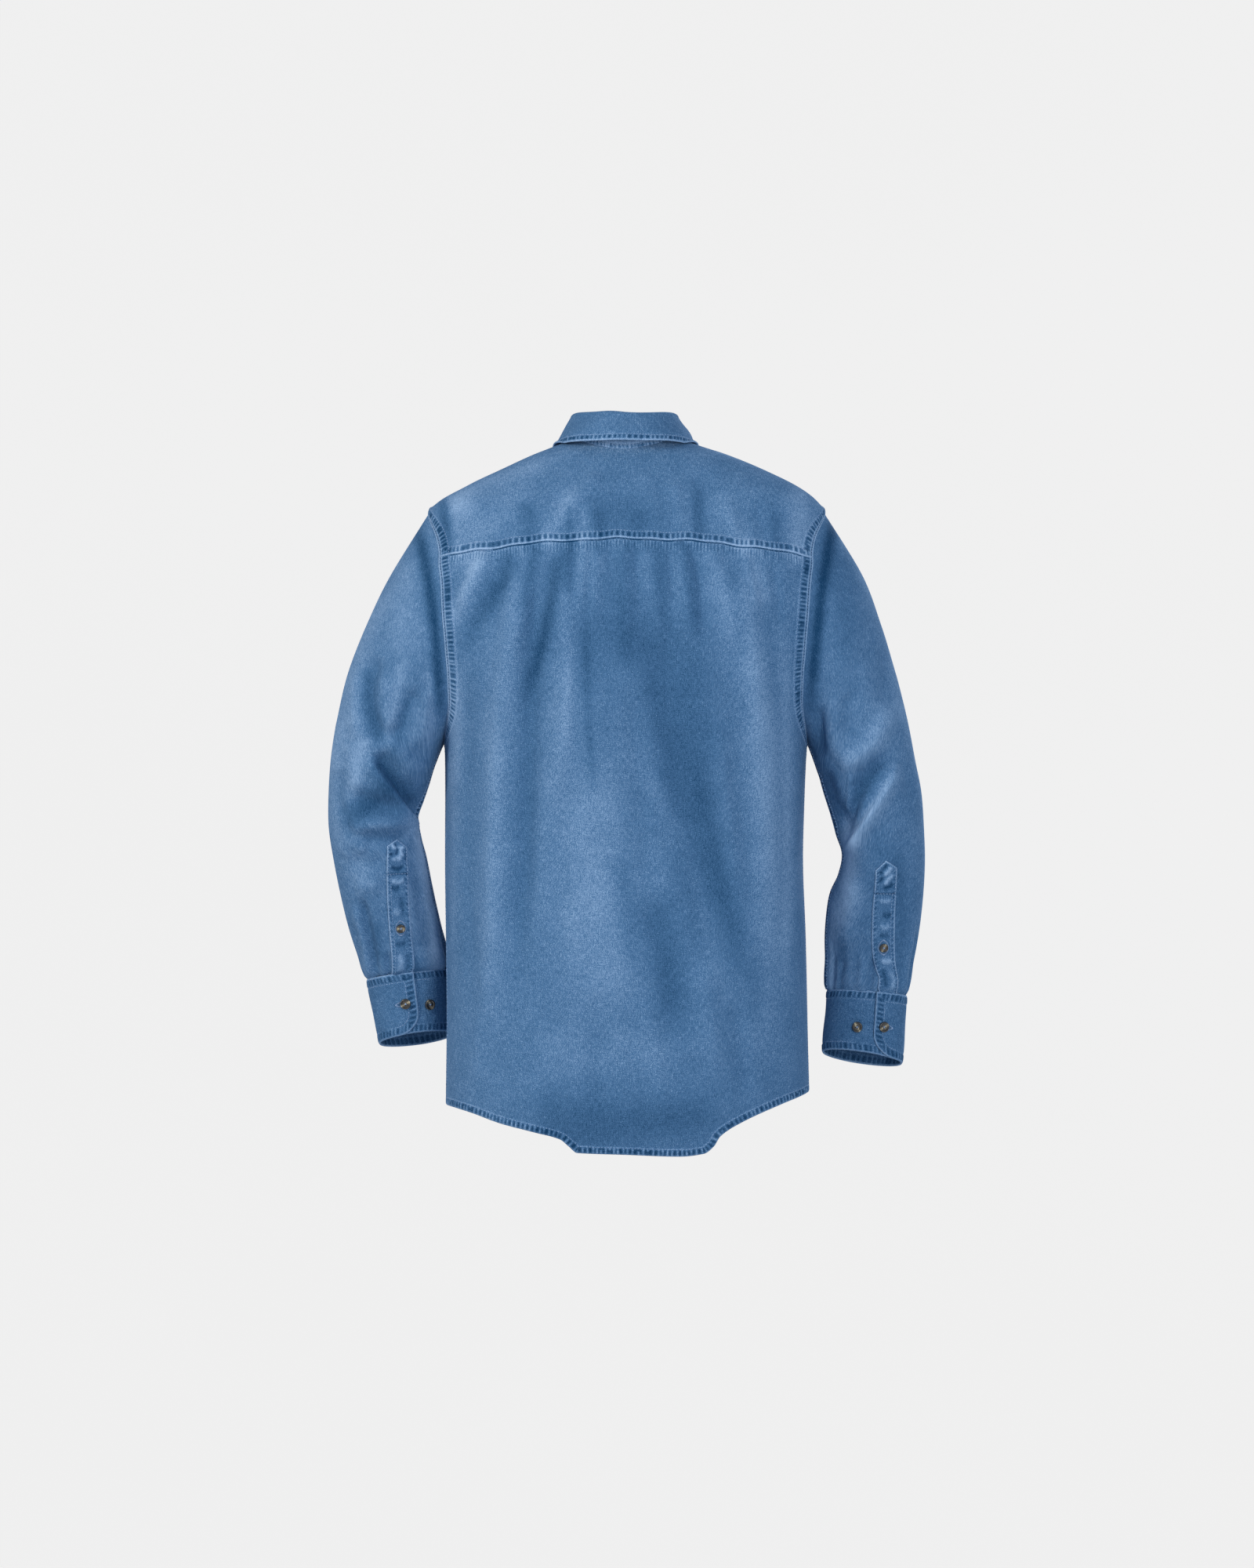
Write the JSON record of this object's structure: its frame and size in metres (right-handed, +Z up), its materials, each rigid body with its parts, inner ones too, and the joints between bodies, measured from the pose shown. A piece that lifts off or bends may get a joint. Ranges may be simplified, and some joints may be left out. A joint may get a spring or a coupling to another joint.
{
  "type": "denim shirt",
  "caption": "Long-sleeved denim shirt, buttoned up and filled out as worn, with a gathered back below a yoke, a pointed collar, a curved hem and buttoned cuffs.",
  "frame": {"origin": "middle of the seam between the yoke and the collar stand at the back of the neck, in height, and between the shoulders, in plan", "axes": "+X towards the wearer's left, +Y out of the back, +Z up along the wearer's spine; the front faces -Y"},
  "size_m": [0.6595, 0.2783, 0.819],
  "materials": {
    "denim": "washed mid-blue denim twill, matt, with pale thread",
    "denim_trim": "washed mid-blue denim twill, doubled and topstitched, matt",
    "horn_button": "mottled dark brown and grey, like horn, softly polished"
  },
  "bodies": {
    "root": {"back": "denim", "yoke": "denim", "front_left": "denim", "front_right": "denim", "sleeve_left": "denim", "sleeve_right": "denim", "button_band": "denim_trim", "collar": "denim_trim", "collar_stand": "denim_trim", "cuff_left": "denim_trim", "cuff_right": "denim_trim", "sleeve_placket_left": "denim_trim", "sleeve_placket_right": "denim_trim", "button_collar_stand": "horn_button", "button_band_1": "horn_button", "button_band_2": "horn_button", "button_band_3": "horn_button", "button_band_4": "horn_button", "button_band_5": "horn_button", "button_band_6": "horn_button", "button_cuff_left_1": "horn_button", "button_cuff_left_2": "horn_button", "button_cuff_right_1": "horn_button", "button_cuff_right_2": "horn_button", "button_placket_left": "horn_button", "button_placket_right": "horn_button"}
  },
  "joints": []
}
